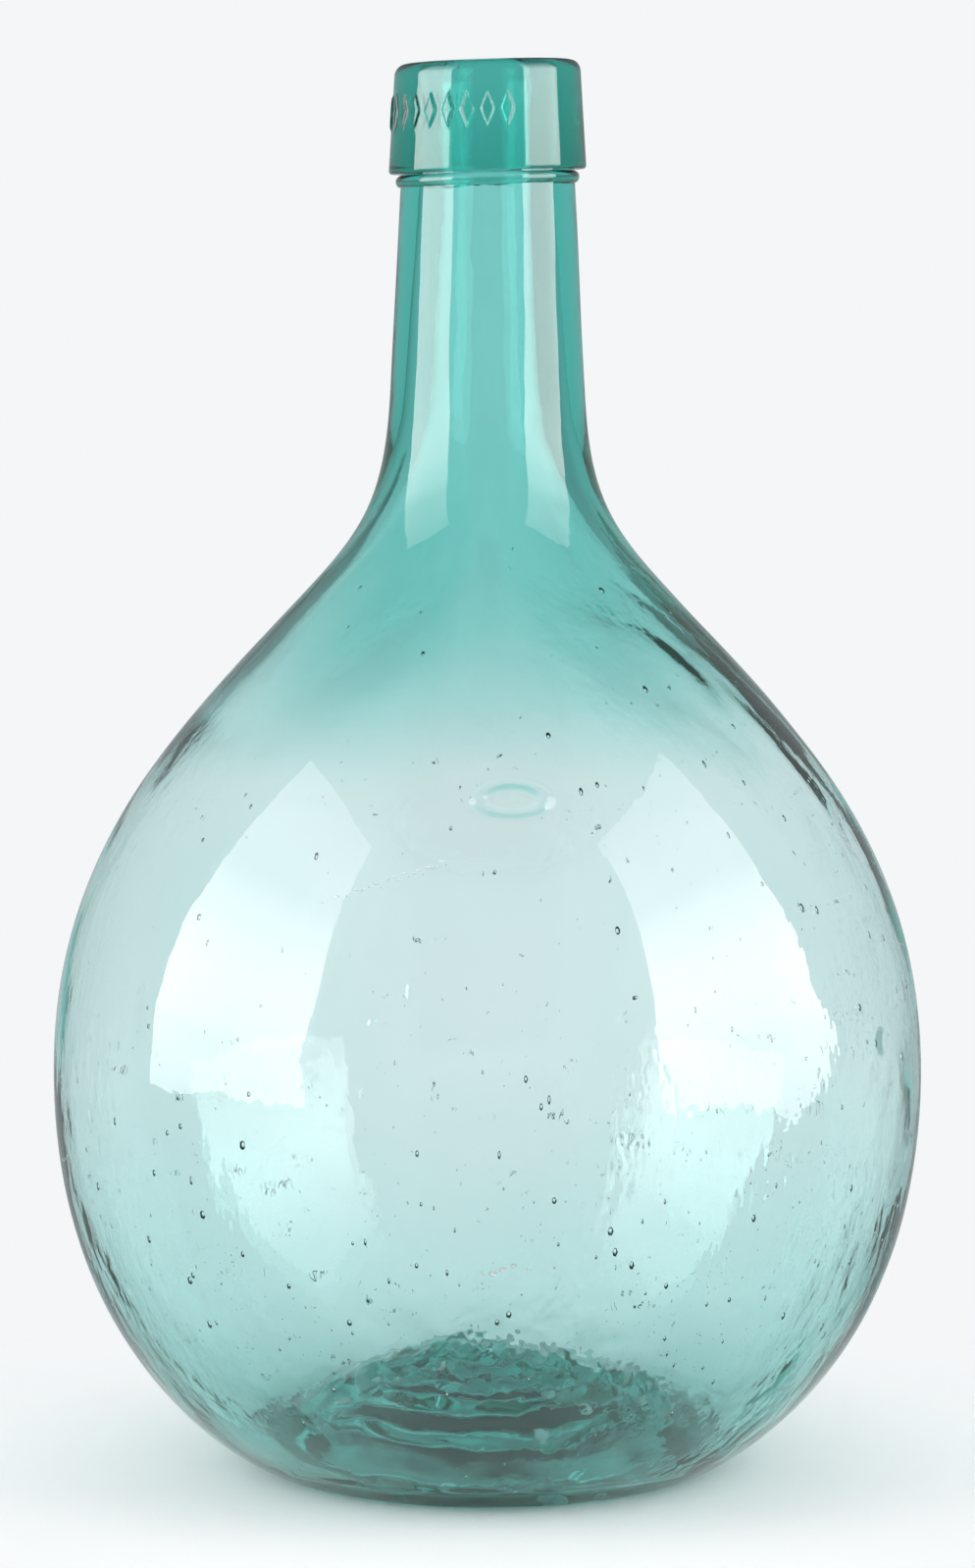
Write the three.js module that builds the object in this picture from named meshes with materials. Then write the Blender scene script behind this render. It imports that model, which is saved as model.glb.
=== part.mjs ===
// A small mouth-blown glass demijohn: a hollow blown body, a thin ring of glass laid round the
// neck, and the applied collar that makes the lip. Millimetres, +Z up, standing on z = 0.
import * as THREE from 'three';

// Blown body, outside. Each radius is from the axis and each height is from the resting plane.
const BELLY_RADIUS = 108;
const BELLY_HEIGHT = 98;
const SHOULDER_RADIUS = 54;
const SHOULDER_HEIGHT = 209;
const SHOULDER_SLOPE = 46.6; // degrees up from level, where the shoulder runs straight
const NECK_BASE_RADIUS = 23.9;
const NECK_BASE_HEIGHT = 269.5;
const NECK_TOP_RADIUS = 21.5;
const NECK_TOP_HEIGHT = 318;

// How far each round stretch of the body holds its direction before it bends to the next.
const HEEL_REACH = 5;
const BELLY_UNDER_REACH = 73;
const BELLY_OVER_REACH = 50;
const SHOULDER_LOWER_REACH = 46;
const SHOULDER_UPPER_REACH = 30.5;
const NECK_REACH = 33;

// Base: a flat resting ring round a pushed-up dome.
const REST_RING_RADIUS = 54;
const REST_RING_WIDTH = 8;
const PUSH_UP_HEIGHT = 17;
const PUSH_UP_CROWN_REACH = 26;
const PUSH_UP_SIDE_REACH = 6;
const FLOOR_EDGE_HEIGHT = 4; // where the inside leaves the wall for the thick floor
const FLOOR_EDGE_REACH = 12;
const FLOOR_CROWN_REACH = 44;

// Glass thickness. The blown wall is thin at the belly and gathers at the heel and the neck.
const BELLY_WALL = 1.8;
const HEEL_WALL = 5;
const NECK_WALL = 10.5;
const BASE_WALL = 8;
const HEEL_GATHER_HEIGHT = 110; // the wall thickens below this height
const NECK_GATHER_START = 168; // and from this height
const NECK_GATHER_END = 248; // up to this one

// Ring and collar.
const RING_HEIGHT = 3;
const RING_OVERHANG = 1.1;
const COLLAR_HEIGHT = 26.9;
const COLLAR_OVERHANG = 2.8;
const COLLAR_DRAFT = 1.4; // the collar is this much narrower at its top
const COLLAR_FOOT_BEVEL = 0.9;
const LIP_ROUNDING = 3; // shared by the collar and the end of the neck inside it
const MOUTH_ROUNDING = 2;
const CLEARANCE = 0.3; // between pieces that touch

const STEPS_ROUND = 48;

// Places that follow from those sizes.
const restRingInner = REST_RING_RADIUS - REST_RING_WIDTH;
const boreRadius = NECK_TOP_RADIUS - NECK_WALL;
const sleeveRadius = NECK_TOP_RADIUS + CLEARANCE;
const ringBottom = NECK_TOP_HEIGHT + CLEARANCE;
const ringTop = ringBottom + RING_HEIGHT;
const collarBottom = ringTop + CLEARANCE;
const rimHeight = collarBottom + COLLAR_HEIGHT;
const collarFootRadius = NECK_TOP_RADIUS + COLLAR_OVERHANG;
const collarTopRadius = collarFootRadius - COLLAR_DRAFT;
const lipCentreRadius = collarTopRadius - LIP_ROUNDING;
const lipCentreHeight = rimHeight - LIP_ROUNDING;

const at = (radius, height) => new THREE.Vector2(radius, height);

// A bend that leaves `from` along one direction and reaches `to` along another.
function bend(from, leaving, leavingReach, to, arriving, arrivingReach) {
  const first = from.clone().addScaledVector(leaving, leavingReach);
  const second = to.clone().addScaledVector(arriving, -arrivingReach);
  return new THREE.CubicBezierCurve(from, first, second, to);
}

// The body's outside, from the resting ring to the top of the neck.
function outsideCurves() {
  const level = at(1, 0);
  const upright = at(0, 1);
  const slope = THREE.MathUtils.degToRad(180 - SHOULDER_SLOPE);
  const shoulderWay = at(Math.cos(slope), Math.sin(slope));

  const rest = at(REST_RING_RADIUS, 0);
  const belly = at(BELLY_RADIUS, BELLY_HEIGHT);
  const shoulder = at(SHOULDER_RADIUS, SHOULDER_HEIGHT);
  const neckBase = at(NECK_BASE_RADIUS, NECK_BASE_HEIGHT);
  const neckTop = at(NECK_TOP_RADIUS, NECK_TOP_HEIGHT);
  const neckWay = neckTop.clone().sub(neckBase).normalize();

  return [
    { curve: bend(rest, level, HEEL_REACH, belly, upright, BELLY_UNDER_REACH), steps: 15 },
    {
      curve: bend(belly, upright, BELLY_OVER_REACH, shoulder, shoulderWay, SHOULDER_LOWER_REACH),
      steps: 9,
    },
    {
      curve: bend(shoulder, shoulderWay, SHOULDER_UPPER_REACH, neckBase, neckWay, NECK_REACH),
      steps: 7,
    },
    { curve: new THREE.LineCurve(neckBase, neckTop), steps: 2 },
  ];
}

// Glass thickness at a height on the outside.
function wallAt(height) {
  const { smoothstep } = THREE.MathUtils;
  const neckShare = smoothstep(height, NECK_GATHER_START, NECK_GATHER_END);
  const heelShare = 1 - smoothstep(height, 0, HEEL_GATHER_HEIGHT);
  return BELLY_WALL + (NECK_WALL - BELLY_WALL) * neckShare + (HEEL_WALL - BELLY_WALL) * heelShare;
}

// The share of the way along a rising curve at which it reaches a height.
function shareAtHeight(curve, height) {
  let low = 0;
  let high = 1;
  for (let i = 0; i < 30; i += 1) {
    const middle = (low + high) / 2;
    if (curve.getPoint(middle).y < height) {
      low = middle;
    } else {
      high = middle;
    }
  }
  return low;
}

// Points of the outside, from the heel upwards.
function outsidePoints() {
  const points = [];
  for (const { curve, steps } of outsideCurves()) {
    points.push(...curve.getPoints(steps).slice(points.length === 0 ? 0 : 1));
  }
  return points;
}

// Points a wall further in, from the edge of the floor upwards, each with the way the wall runs.
function insidePoints() {
  const points = [];
  for (const { curve, steps } of outsideCurves()) {
    const first = points.length === 0 ? shareAtHeight(curve, FLOOR_EDGE_HEIGHT) : 1 / steps;
    const count = Math.round((1 - first) * steps);
    for (let i = 0; i <= count; i += 1) {
      const share = first + (1 - first) * (i / count);
      const point = curve.getPoint(share);
      const way = curve.getTangent(share);
      const wall = wallAt(point.y);
      points.push({ point: at(point.x - way.y * wall, point.y + way.x * wall), way });
    }
  }
  // The bore runs straight from the top of the neck.
  points[points.length - 1].point.set(boreRadius, NECK_TOP_HEIGHT);
  return points;
}

// Points of the lip's rounding between two radii, from the outer one to the inner one.
function lipPoints(outerRadius, innerRadius, steps) {
  const angleAt = (radius) => {
    return Math.acos(THREE.MathUtils.clamp((radius - lipCentreRadius) / LIP_ROUNDING, 0, 1));
  };
  const start = angleAt(outerRadius);
  const end = angleAt(innerRadius);
  const outline = new THREE.Path();
  outline.absarc(lipCentreRadius, lipCentreHeight, LIP_ROUNDING, start, end, false);
  return outline.getPoints(steps);
}

function blownBodyOutline() {
  const inside = insidePoints();
  const crown = at(0, PUSH_UP_HEIGHT);
  const floorCrown = at(0, PUSH_UP_HEIGHT + BASE_WALL);
  const ringEdge = at(restRingInner, 0);
  const inwards = at(-1, 0);
  const up = at(0, 1);

  const pushUp = bend(ringEdge, up, PUSH_UP_SIDE_REACH, crown, inwards, PUSH_UP_CROWN_REACH);
  const floorEdge = inside[0].point;
  const downWall = inside[0].way.clone().negate();
  const floor = bend(floorEdge, downWall, FLOOR_EDGE_REACH, floorCrown, inwards, FLOOR_CROWN_REACH);

  const lip = lipPoints(NECK_TOP_RADIUS, lipCentreRadius, 2);
  lip.forEach((point) => point.setX(Math.min(point.x, NECK_TOP_RADIUS)));
  const mouthEdge = boreRadius + MOUTH_ROUNDING;
  const mouth = new THREE.Path();
  mouth.absarc(mouthEdge, rimHeight - MOUTH_ROUNDING, MOUTH_ROUNDING, Math.PI / 2, Math.PI, false);

  return [
    ...pushUp.getPoints(7).reverse(),
    ...outsidePoints(),
    ...lip,
    ...mouth.getPoints(2),
    ...inside.map(({ point }) => point).reverse(),
    ...floor.getPoints(10).slice(1),
  ];
}

function laidOnRingOutline() {
  const half = RING_HEIGHT / 2;
  const bulge = RING_OVERHANG - CLEARANCE;
  const outline = new THREE.Path();
  outline.absellipse(sleeveRadius, ringBottom + half, bulge, half, -Math.PI / 2, Math.PI / 2, false, 0);
  outline.closePath();
  return outline.getPoints(4);
}

function appliedCollarOutline() {
  const outline = new THREE.Path();
  outline.moveTo(sleeveRadius, collarBottom);
  outline.lineTo(collarFootRadius - COLLAR_FOOT_BEVEL, collarBottom);
  outline.lineTo(collarFootRadius, collarBottom + COLLAR_FOOT_BEVEL);
  const lip = lipPoints(collarTopRadius, sleeveRadius, 3);
  const lipEnd = at(sleeveRadius, lip[lip.length - 1].y);
  return [...outline.getPoints(), ...lip, lipEnd, at(sleeveRadius, collarBottom)];
}

// Turns an outline of radius and height round the upright axis.
function turned(name, outline, material) {
  const points = outline.filter((point, i) => i === 0 || point.distanceTo(outline[i - 1]) > 1e-6);
  const geometry = new THREE.LatheGeometry(points, STEPS_ROUND);
  geometry.rotateX(Math.PI / 2);
  const mesh = new THREE.Mesh(geometry, material);
  mesh.name = name;
  return mesh;
}

const glass = (color) => new THREE.MeshStandardMaterial({ color, roughness: 0.06, metalness: 0 });

const demijohn = new THREE.Group();
demijohn.add(turned('blown_body', blownBodyOutline(), glass(0x9fcfca)));
demijohn.add(turned('laid_on_ring', laidOnRingOutline(), glass(0x5fb0a8)));
demijohn.add(turned('applied_collar', appliedCollarOutline(), glass(0x5fb0a8)));

export default demijohn;
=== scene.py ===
# %% [markdown]
# # Dressing a blown-glass demijohn
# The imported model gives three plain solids: a hollow blown body, a thin ring laid round its neck
# and the collar that makes the lip. This lesson turns them into real glass. It sets up a camera
# and a small studio, draws each piece's section, turns it round the axis with Geometry Nodes,
# gives it the ripples and air bubbles of mouth-blown glass, and colours it by its thickness.

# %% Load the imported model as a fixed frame
import math

import bmesh
import bpy
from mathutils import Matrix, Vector


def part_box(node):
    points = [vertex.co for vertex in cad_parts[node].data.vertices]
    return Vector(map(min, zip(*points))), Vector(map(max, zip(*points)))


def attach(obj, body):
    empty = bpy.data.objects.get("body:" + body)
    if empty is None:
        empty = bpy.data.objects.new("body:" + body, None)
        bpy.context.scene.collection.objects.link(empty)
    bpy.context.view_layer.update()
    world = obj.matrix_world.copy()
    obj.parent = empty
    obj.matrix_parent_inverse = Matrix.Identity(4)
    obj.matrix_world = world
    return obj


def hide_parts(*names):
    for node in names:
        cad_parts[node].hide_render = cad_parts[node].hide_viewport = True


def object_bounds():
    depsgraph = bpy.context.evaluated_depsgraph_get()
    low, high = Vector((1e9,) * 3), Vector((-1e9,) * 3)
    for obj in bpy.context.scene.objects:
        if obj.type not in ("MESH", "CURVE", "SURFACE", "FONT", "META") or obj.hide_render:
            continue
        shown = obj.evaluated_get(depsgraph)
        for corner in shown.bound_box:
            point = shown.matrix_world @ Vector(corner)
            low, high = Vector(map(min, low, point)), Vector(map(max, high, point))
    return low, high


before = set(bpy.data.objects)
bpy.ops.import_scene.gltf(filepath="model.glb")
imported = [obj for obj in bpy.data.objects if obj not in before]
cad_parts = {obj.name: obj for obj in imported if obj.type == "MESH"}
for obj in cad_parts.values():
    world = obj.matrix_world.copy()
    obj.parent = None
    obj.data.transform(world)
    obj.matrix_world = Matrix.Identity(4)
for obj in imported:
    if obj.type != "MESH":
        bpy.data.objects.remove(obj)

cad_low, cad_high = [list(corner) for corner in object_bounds()]
scene = bpy.context.scene
scene.view_settings.view_transform = "Standard"
print("CAD box", cad_low, cad_high)

# %% [markdown]
# ## The camera
# A long lens stands a little below the lip and tilts down, so the lip is seen from below and the
# heel from above. Level edges in the photograph meet at one row, the horizon, which is the
# camera's own height. The lens and the distance follow from how fast those edges close in.

# %% Camera
FRAME_WIDTH, FRAME_HEIGHT = 994, 1598
HORIZON_ROW = 288
FOCAL_PIXELS = 5535
CAMERA_DISTANCE = 1.344
CAMERA_HEIGHT = 0.2945

camera_data = bpy.data.cameras.new("camera")
camera_data.sensor_width = 36
camera_data.lens = camera_data.sensor_width * FOCAL_PIXELS / FRAME_HEIGHT
camera = bpy.data.objects.new("camera", camera_data)
tilt_down = math.atan((FRAME_HEIGHT / 2 - HORIZON_ROW) / FOCAL_PIXELS)
camera.location = (0, -CAMERA_DISTANCE, CAMERA_HEIGHT)
camera.rotation_euler = (math.radians(90) - tilt_down, 0, 0)
scene.collection.objects.link(camera)
scene.camera = camera
print("lens", round(camera_data.lens, 1), "mm, tilted down", round(math.degrees(tilt_down), 2))

# %% [markdown]
# ## Helpers for node trees
# Shaders and Geometry Nodes are wired the same way from Python, so a few small helpers keep the
# later cells short. They clear a tree, add a node and feed its sockets, multiply, add and take
# apart values, and add the smooth ramp that most of the blends in this lesson use.

# %% Node helpers
def empty_tree(holder):
    """The cleared node tree of a material, a lamp or the world."""
    holder.use_nodes = True
    holder.node_tree.nodes.clear()
    return holder.node_tree


def feed(tree, socket, value):
    """Links the socket to another node's output, or sets a plain value on it."""
    if isinstance(value, bpy.types.NodeSocket):
        tree.links.new(value, socket)
    else:
        socket.default_value = value


def add_node(tree, kind, inputs=None, **settings):
    """A node of that kind, with its settings and then its inputs by name or number."""
    node = tree.nodes.new(kind)
    for name, value in settings.items():
        setattr(node, name, value)
    for name, value in (inputs or {}).items():
        feed(tree, node.inputs[name], value)
    return node


def calculate(tree, operation, *values):
    """The output of a Math node."""
    node = add_node(tree, "ShaderNodeMath", dict(enumerate(values)), operation=operation)
    return node.outputs[0]


def times(tree, value, *others):
    """The product of the values."""
    for other in others:
        value = calculate(tree, "MULTIPLY", value, other)
    return value


def plus(tree, value, *others):
    """The sum of the values."""
    for other in others:
        value = calculate(tree, "ADD", value, other)
    return value


def axes_of(tree, vector):
    """The X, Y and Z of a vector."""
    return add_node(tree, "ShaderNodeSeparateXYZ", {0: vector}).outputs


def length_of(tree, vector):
    """How long a vector is."""
    node = add_node(tree, "ShaderNodeVectorMath", {0: vector}, operation="LENGTH")
    return node.outputs["Value"]


def scaled(tree, vector, factor):
    """A vector times a number, or times another vector axis by axis."""
    if isinstance(factor, tuple):
        inputs, operation = {0: vector, 1: factor}, "MULTIPLY"
    else:
        inputs, operation = {0: vector, "Scale": factor}, "SCALE"
    return add_node(tree, "ShaderNodeVectorMath", inputs, operation=operation).outputs[0]


def ramp(tree, value, span, ends=(0.0, 1.0), kind="SMOOTHSTEP"):
    """Goes from the first end to the second while the value goes along the span."""
    inputs = {
        "Value": value,
        "From Min": span[0],
        "From Max": span[1],
        "To Min": ends[0],
        "To Max": ends[1],
    }
    node = add_node(tree, "ShaderNodeMapRange", inputs, interpolation_type=kind)
    return node.outputs["Result"]


print("helpers ready")

# %% [markdown]
# ## The studio
# Clear glass shows its surroundings, so the surroundings are half of its look. The room is white
# where it is seen straight or through the glass. Its sides and its ceiling are darker, and they
# show only where the glass mirrors them once, which draws the dark edges of the bottle. Two tall
# soft lamps stand at the sides. Their mirror images are the long pale windows on the bulb, the
# neck and the collar.

# %% Room
ROOM_WHITE = (0.905, 0.921, 0.939, 1)
ROOM_FILL = 0.95  # strength for the light that falls on the floor
ROOM_SIDE = (0.10, 0.17, 0.165, 1)
DIMMING = (0.3, 0.6)  # how much of that colour a ray mirrored in the wall finds, left and right
SIDE_SPAN = (-0.2, 0.6)  # how far sideways the room goes from its left to its right
SKIN_DIMMING = 0.65  # and a ray mirrored by the outer skin
CEILING_DIMMING = 0.9  # and a ray mirrored upwards
AHEAD_SPAN = (0.55, 0.25)  # the ceiling is dark only this near to straight ahead
CEILING_SPAN = (0.03, 0.2)  # how far upwards it starts and is at its darkest

world = bpy.data.worlds.new("white_room")
scene.world = world


def viewer_light(tree, sideways, upwards):
    """The strength and colour that a ray finds in the room and on the far floor. Seen straight or
    through glass they are white. One mirroring turns a ray to the sides of the room, which are
    darker, most of all on the right, and a second one turns it back. Light that has come by way
    of a matt surface finds nothing here. sideways is -1 to the left and 1 to the right, and
    upwards is 1 straight up."""
    path = add_node(tree, "ShaderNodeLightPath").outputs
    clear = calculate(tree, "MAXIMUM", path["Is Camera Ray"], path["Is Transmission Ray"])
    seen = calculate(tree, "MAXIMUM", clear, path["Is Glossy Ray"])
    matt_on_the_way = calculate(tree, "GREATER_THAN", path["Diffuse Depth"], 0.5)
    straight_here = calculate(tree, "SUBTRACT", 1.0, matt_on_the_way)
    strength = times(tree, seen, straight_here)
    once = calculate(tree, "COMPARE", path["Glossy Depth"], 1.0, 0.5)
    in_wall = ramp(tree, sideways, SIDE_SPAN, DIMMING)
    by_skin = calculate(tree, "LESS_THAN", path["Transmission Depth"], 0.5)
    dimmest = calculate(tree, "MAXIMUM", in_wall, times(tree, by_skin, SKIN_DIMMING))
    ahead = ramp(tree, calculate(tree, "ABSOLUTE", sideways), AHEAD_SPAN)
    overhead = ramp(tree, upwards, CEILING_SPAN, (0.0, CEILING_DIMMING))
    dimmest = calculate(tree, "MAXIMUM", dimmest, times(tree, ahead, overhead))
    share = times(tree, once, dimmest)
    mix = add_node(tree, "ShaderNodeMix", {0: share, 6: ROOM_WHITE, 7: ROOM_SIDE}, data_type="RGBA")
    return strength, mix.outputs[2]


room = empty_tree(world)
axes = axes_of(room, add_node(room, "ShaderNodeTexCoord").outputs["Generated"])
viewer_strength, colour = viewer_light(room, axes["X"], axes["Z"])
strength = calculate(room, "MAXIMUM", viewer_strength, ROOM_FILL)
light = add_node(room, "ShaderNodeBackground", {"Color": colour, "Strength": strength})
add_node(room, "ShaderNodeOutputWorld", {"Surface": light.outputs[0]})
print("room", ROOM_WHITE[:3], "fill", ROOM_FILL)

# %% Side lamps
LAMP_TURN = math.radians(70)  # from the camera's side, round to the left and the right
LAMP_DISTANCE = 1.2
LAMP_WIDTH, LAMP_HEIGHT = 1.1, 1.75
LAMP_RADIANCE = 6.3  # where the share below is 1
LAMP_COLOUR = (1.0, 0.92, 0.91)  # a little warmer than the room
LAMP_GLOW = [  # share of its height, share of that brightness
    (0, 0.65),
    (0.1, 0.8),
    (0.18, 1.04),
    (0.26, 1.1),
    (0.34, 1.02),
    (0.42, 0.82),
    (0.6, 0.46),
    (1, 0.28),
]
LAMP_ON_FLOOR = 0.64  # share of it that a ray finds from the floor
LAMP_UNDER_GLASS = 1.5  # from the floor by way of the glass
LAMP_IN_GLASS = 0.12  # from inside the wall, or straight through
LAMP_IN_BULB = 0.6  # mirrored in the far side of the bulb


def side_lamp(name, side):
    """A tall soft lamp standing on the floor, facing the bottle. side is -1 left or 1 right."""
    data = bpy.data.lights.new(name, "AREA")
    data.shape = "RECTANGLE"
    data.size, data.size_y = LAMP_WIDTH, LAMP_HEIGHT
    data.energy = LAMP_RADIANCE * math.pi * LAMP_WIDTH * LAMP_HEIGHT
    data.color = LAMP_COLOUR
    tree = empty_tree(data)
    height = axes_of(tree, add_node(tree, "ShaderNodeNewGeometry").outputs["Position"])["Z"]
    height = calculate(tree, "DIVIDE", height, LAMP_HEIGHT)
    glow = add_node(tree, "ShaderNodeValToRGB", {"Fac": height})
    steps = glow.color_ramp
    steps.interpolation = "EASE"
    for i, (share_of_height, share) in enumerate(LAMP_GLOW):
        step = steps.elements[i] if i < 2 else steps.elements.new(share_of_height)
        step.position = share_of_height
        step.color = (share, share, share, 1)
    path = add_node(tree, "ShaderNodeLightPath").outputs

    def one_of(kind, without, with_it):
        """The first value for a ray without such a step on its way, or else the second."""
        return ramp(tree, path[kind], (0.0, 1.0), (without, with_it), "LINEAR")

    open_air = one_of("Glossy Depth", LAMP_ON_FLOOR, 1.0)
    # A ray crosses two skins to get out of the wall again, and four by way of the bulb.
    by_bulb = one_of("Glossy Depth", LAMP_IN_GLASS, LAMP_IN_BULB)
    in_bulb = ramp(tree, path["Transmission Depth"], (2.0, 4.0), (LAMP_IN_GLASS, by_bulb), "LINEAR")
    in_glass = one_of("Diffuse Depth", in_bulb, LAMP_UNDER_GLASS)
    left_over = one_of("Transmission Depth", open_air, in_glass)
    given_off = {"Color": glow.outputs["Color"], "Strength": left_over}
    emission = add_node(tree, "ShaderNodeEmission", given_off)
    add_node(tree, "ShaderNodeOutputLight", {"Surface": emission.outputs[0]})
    lamp = bpy.data.objects.new(name, data)
    lamp.location = (
        side * LAMP_DISTANCE * math.sin(LAMP_TURN),
        -LAMP_DISTANCE * math.cos(LAMP_TURN),
        LAMP_HEIGHT / 2,
    )
    lamp.rotation_euler = (math.radians(90), 0, side * LAMP_TURN)
    lamp.visible_camera = False
    scene.collection.objects.link(lamp)
    return lamp


lamps = [side_lamp("left_lamp", -1), side_lamp("right_lamp", 1)]
print("lamps", [lamp.name for lamp in lamps], round(lamps[0].data.energy, 1), "W each")

# %% [markdown]
# ## The floor
# The bottle stands on a pale matt floor that catches its soft, tinted shadow. Further out the
# floor turns into plain white, so that it has no far edge to show through the glass. Under the
# push-up, where the resting ring closes it in, shade is painted into the floor's colour.

# %% Floor
FLOOR_DROP = 0.0003  # a hair under the base, so that glass and floor never share a plane
FLOOR_REACH = 8.0
FLOOR_COLOUR = (0.80, 0.815, 0.82, 1)
FADE_SPAN = (0.09, 0.20)  # from the axis: matt floor, then plain white
PAINTED_SHADE_SPAN = (0.032, 0.047)  # from the axis: the edge of the shade painted under the push-up
PAINTED_SHADE_LEFT = 0.045  # share of the floor's colour that is left in the painted shade

floor_material = bpy.data.materials.new("pale_floor")
tree = empty_tree(floor_material)
place = add_node(tree, "ShaderNodeTexCoord").outputs["Object"]
outwards = length_of(tree, place)
far = ramp(tree, outwards, FADE_SPAN)
# Painted shade: the floor's colour is darkened under the push-up, inside the resting ring.
painted_shade = ramp(tree, outwards, PAINTED_SHADE_SPAN, (PAINTED_SHADE_LEFT, 1.0))
matt = add_node(tree, "ShaderNodeBsdfDiffuse", {"Color": scaled(tree, FLOOR_COLOUR[:3], painted_shade)})
unit = add_node(tree, "ShaderNodeVectorMath", {0: place}, operation="NORMALIZE").outputs[0]
sideways = axes_of(tree, unit)["X"]
viewer_strength, colour = viewer_light(tree, sideways, 0.0)
white = add_node(tree, "ShaderNodeEmission", {"Color": colour, "Strength": viewer_strength})
white_share = times(tree, far, viewer_strength)
surface = add_node(
    tree, "ShaderNodeMixShader", {0: white_share, 1: matt.outputs[0], 2: white.outputs[0]}
)
add_node(tree, "ShaderNodeOutputMaterial", {"Surface": surface.outputs[0]})

floor_mesh = bpy.data.meshes.new("floor")
shape = bmesh.new()
bmesh.ops.create_circle(shape, cap_ends=True, segments=64, radius=FLOOR_REACH)
shape.to_mesh(floor_mesh)
shape.free()
floor_mesh.materials.append(floor_material)
floor = bpy.data.objects.new("floor", floor_mesh)
floor.location.z = -FLOOR_DROP
scene.collection.objects.link(floor)
print("floor reaches", FLOOR_REACH, "m")

# %% [markdown]
# ## Sections of the glass
# A blown bottle is round, so each piece is fixed by its section: an outline of radius and height.
# It could be modelled by hand with a Screw modifier. Here the outline is drawn from a few bends,
# each leaving one point in a set direction and arriving at the next, because the wall's inside
# can then be worked out from its outside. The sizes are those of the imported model.

# %% Bends
def bend(start, leaving, leaving_reach, end, arriving, arriving_reach, steps):
    """Points of a smooth bend, each with the direction there. The first point is left out."""
    a = Vector(start)
    b = a + Vector(leaving) * leaving_reach
    d = Vector(end)
    c = d - Vector(arriving) * arriving_reach
    points = []
    for i in range(1, steps + 1):
        t = i / steps
        u = 1 - t
        point = a * u**3 + b * (3 * u * u * t) + c * (3 * u * t * t) + d * t**3
        way = (b - a) * (u * u) + (c - b) * (2 * u * t) + (d - c) * (t * t)
        points.append((point, way.normalized()))
    return points


def smooth_share(value, low, high):
    """0 below low, 1 above high, and a smooth rise between."""
    t = min(max((value - low) / (high - low), 0), 1)
    return t * t * (3 - 2 * t)


print("a quarter bend", len(bend((1, 0), (0, 1), 0.55, (0, 1), (-1, 0), 0.55, 4)), "points")

# %% Body section
BELLY_RADIUS = cad_high[0]
BELLY_HEIGHT = 0.098
SHOULDER = (0.054, 0.209)
SHOULDER_SLOPE = math.radians(46.6)
NECK_BASE = (0.0239, 0.2695)
NECK_TOP = (0.0215, 0.318)
REST_RING_RADIUS, REST_RING_WIDTH = 0.054, 0.008
PUSH_UP_HEIGHT, BASE_WALL = 0.017, 0.008
FLOOR_EDGE_HEIGHT = 0.004  # where the inside leaves the wall for the thick floor
BELLY_WALL, HEEL_WALL, NECK_WALL = 0.0018, 0.0050, 0.0105
NECK_GATHER = (0.168, 0.248)  # heights between which the wall thickens to the neck's
HEEL_GATHER = (0, 0.110)  # and thins from the heel's
HEEL_REACH, BELLY_UNDER_REACH = 0.005, 0.073  # how far each bend holds its direction
BELLY_OVER_REACH, SHOULDER_LOWER_REACH = 0.050, 0.046
SHOULDER_UPPER_REACH, NECK_REACH = 0.0305, 0.033
NECK_STRAIGHT_REACH = 0.016
BODY_ROWS = (46, 34, 26, 14)  # heel, shoulder, neck base and neck, at a fineness of 1

# Chance unevenness of this one bottle: amounts, and the heights where they rise and fall.
LEFT_WALL, LEFT_WALL_RISE, THINNING_RISE = 0.0029, (0.187, 0.263), (0.160, 0.180)
SHOULDER_GAIN, SHOULDER_SPANS = 0.0019, ((0.172, 0.222), (0.226, 0.268))
BELLY_GAIN, BELLY_SPANS = 0.0006, ((0.030, 0.075), (0.140, 0.185))
FURROW_DEPTH, FURROW_SPANS = 0.0014, ((0.130, 0.165), (0.232, 0.262))

UP, DOWN, OUT, IN = (0, 1), (0, -1), (1, 0), (-1, 0)
SHOULDER_WAY = (-math.cos(SHOULDER_SLOPE), math.sin(SHOULDER_SLOPE))
NECK_WAY = tuple((Vector(NECK_TOP) - Vector(NECK_BASE)).normalized())
bore_radius = NECK_TOP[0] - NECK_WALL


def wall_at(height):
    """Thickness of the blown wall: thin at the belly, gathered at the heel and the neck."""
    neck_share = smooth_share(height, *NECK_GATHER)
    heel_share = 1 - smooth_share(height, *HEEL_GATHER)
    neck_gain, heel_gain = NECK_WALL - BELLY_WALL, HEEL_WALL - BELLY_WALL
    return BELLY_WALL + neck_gain * neck_share + heel_gain * heel_share


def rise_and_fall(height, rise, fall):
    """1 between the two spans of height, and 0 below the first and above the second."""
    return smooth_share(height, *rise) * (1 - smooth_share(height, *fall))


def thinning_at(height):
    """How much of the wall is missing on the left, where the gather ran thin on the shoulder."""
    left_wall = LEFT_WALL + (NECK_WALL - LEFT_WALL) * smooth_share(height, *LEFT_WALL_RISE)
    return max(wall_at(height) - left_wall, 0) * smooth_share(height, *THINNING_RISE)


def fullness_at(height):
    """How much thicker the wall is on the flanks, between front and sides: most on the shoulder."""
    shoulder = SHOULDER_GAIN * rise_and_fall(height, *SHOULDER_SPANS)
    return shoulder + BELLY_GAIN * rise_and_fall(height, *BELLY_SPANS)


def streaks_at(height):
    """How deep the long furrows are that run up the inside of the shoulder on the right."""
    return FURROW_DEPTH * rise_and_fall(height, *FURROW_SPANS)


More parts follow.
